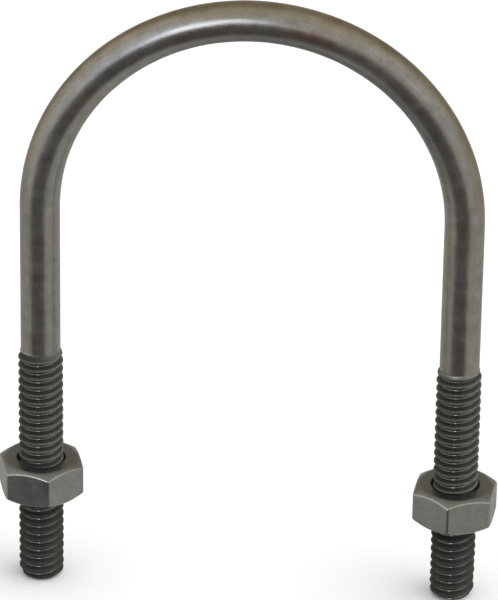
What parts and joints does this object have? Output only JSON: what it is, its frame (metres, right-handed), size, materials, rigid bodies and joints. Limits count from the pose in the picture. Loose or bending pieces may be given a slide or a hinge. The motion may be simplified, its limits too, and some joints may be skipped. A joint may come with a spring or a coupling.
{
  "type": "u-bolt",
  "caption": "Round steel bar bent into a U, with a thread and a hexagon nut on each leg, for clamping a pipe or tube to a plate or beam.",
  "frame": {"origin": "midway between the two leg ends, in the plane of their end faces", "axes": "+Z along the legs towards the bend, X across the two legs, Y through the thickness of the bar"},
  "size_m": [0.0697, 0.0124, 0.089],
  "materials": {
    "bar_steel": "satin, drawn bar with rolled threads",
    "nut_steel": "satin, lightly tumbled"
  },
  "bodies": {
    "rod": {"bent_rod": "bar_steel"},
    "left_nut_carrier": {"left_nut_lower_rim": "nut_steel"},
    "left_nut": {"left_nut": "nut_steel"},
    "right_nut_carrier": {"right_nut_lower_rim": "nut_steel"},
    "right_nut": {"right_nut": "nut_steel"}
  },
  "joints": [
    {"name": "left_nut_travel", "type": "slide", "parent": "rod", "child": "left_nut_carrier", "axis": [0, 0, 1], "range_m": [-0.0127, 0.01524]},
    {"name": "left_nut_turn", "type": "hinge", "parent": "left_nut_carrier", "child": "left_nut", "pos_m": [-0.0289, 0, 0.0158], "axis": [0, 0, 1], "range_deg": [-3600, 4320]},
    {"name": "right_nut_travel", "type": "slide", "parent": "rod", "child": "right_nut_carrier", "axis": [0, 0, 1], "range_m": [-0.01143, 0.01651]},
    {"name": "right_nut_turn", "type": "hinge", "parent": "right_nut_carrier", "child": "right_nut", "pos_m": [0.0289, 0, 0.0147], "axis": [0, 0, 1], "range_deg": [-3240, 4680]}
  ],
  "couplings": [
    {"joint": "left_nut_turn", "follows": "left_nut_travel", "rad_per_m": 4947.4},
    {"joint": "right_nut_turn", "follows": "right_nut_travel", "rad_per_m": 4947.4}
  ]
}
